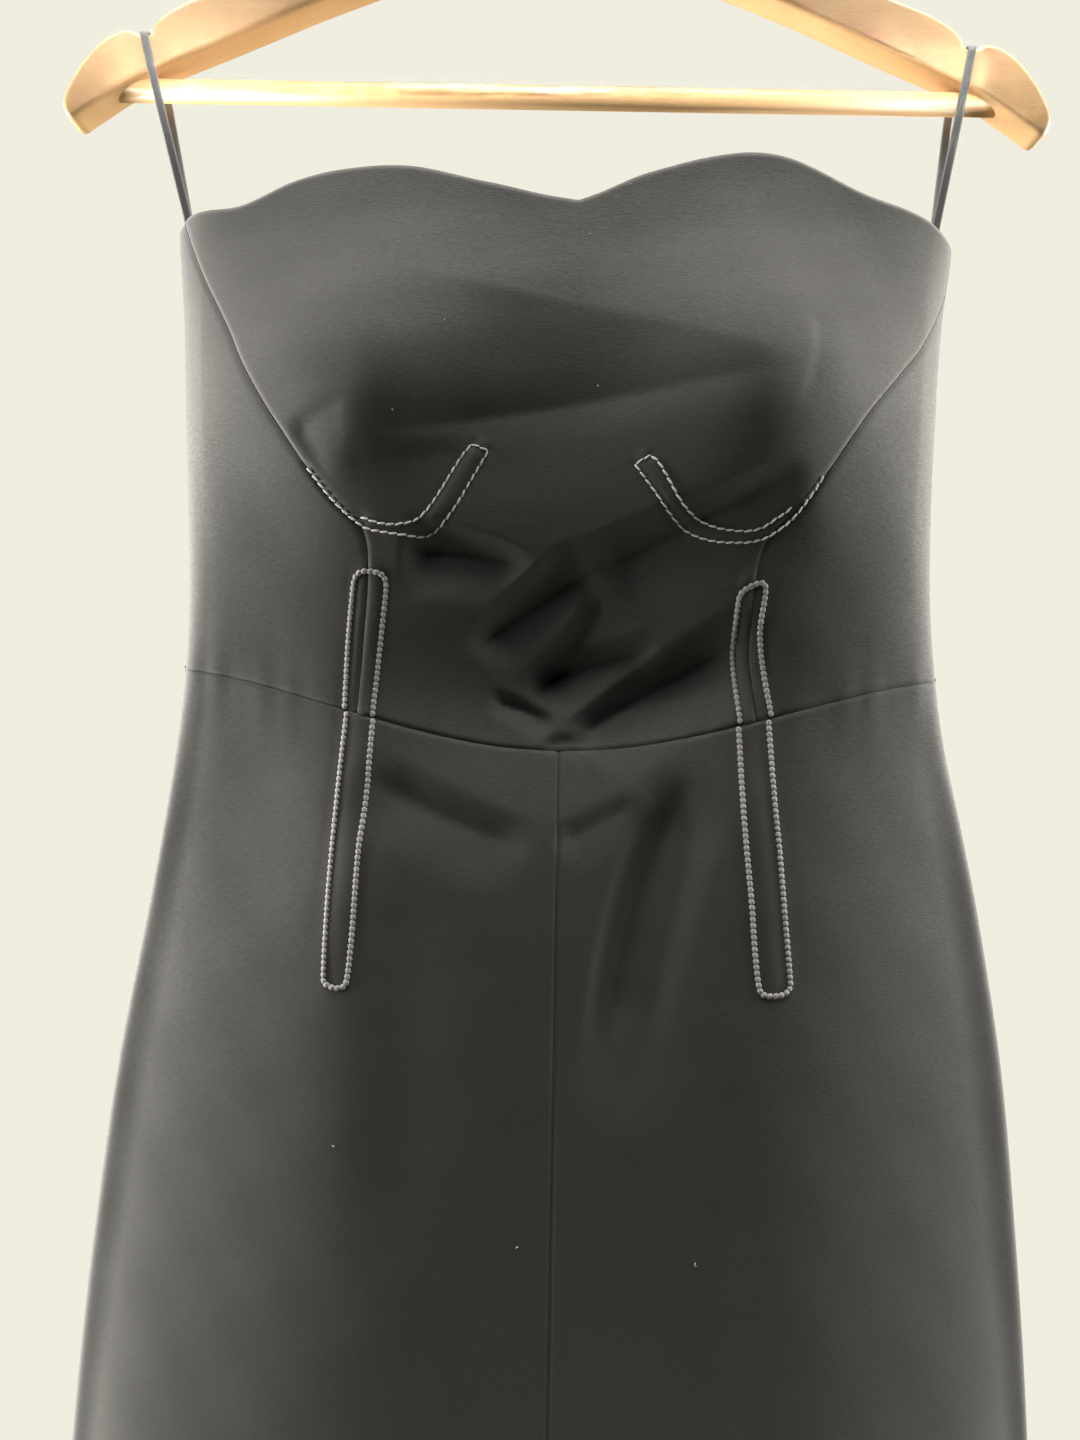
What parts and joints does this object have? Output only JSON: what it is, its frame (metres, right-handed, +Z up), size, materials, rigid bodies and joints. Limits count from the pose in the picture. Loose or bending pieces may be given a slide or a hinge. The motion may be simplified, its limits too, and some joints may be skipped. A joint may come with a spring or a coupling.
{
  "type": "strapless jumpsuit on a wooden hanger",
  "caption": "Dark crepe strapless jumpsuit with a sweetheart top edge, moulded cups, a dipped waist seam and long straight legs, hung by ribbon loops on a wooden hanger.",
  "frame": {"origin": "inside top of the hanger's hook, where it rests on a rail", "axes": "+Z up, front of the garment towards -Y, +X to the right of somebody who looks at the front"},
  "size_m": [0.465, 0.0828, 1.594],
  "materials": {
    "crepe": "matt charcoal-black crepe",
    "ribbon": "dark grey satin ribbon",
    "beech": "pale wood, satin varnish",
    "steel": "bright steel wire",
    "zip_metal": "satin black"
  },
  "bodies": {
    "root": {"bust_panel": "crepe", "side_front_left": "crepe", "side_front_right": "crepe", "bodice_back_left": "crepe", "bodice_back_right": "crepe", "trouser_front_left": "crepe", "trouser_front_right": "crepe", "trouser_back_left": "crepe", "trouser_back_right": "crepe", "hanger_loop_left": "ribbon", "hanger_loop_right": "ribbon", "hanger_arms": "beech", "hanger_bar": "beech", "hanger_hook": "steel", "zip_slider": "zip_metal"},
    "pull": {"zip_pull": "zip_metal"}
  },
  "joints": [
    {"name": "pull_hinge", "type": "hinge", "parent": "root", "child": "pull", "pos_m": [0.0055, 0.02686, -0.276], "axis": [1, 0, 0], "range_deg": [0, 160]}
  ]
}
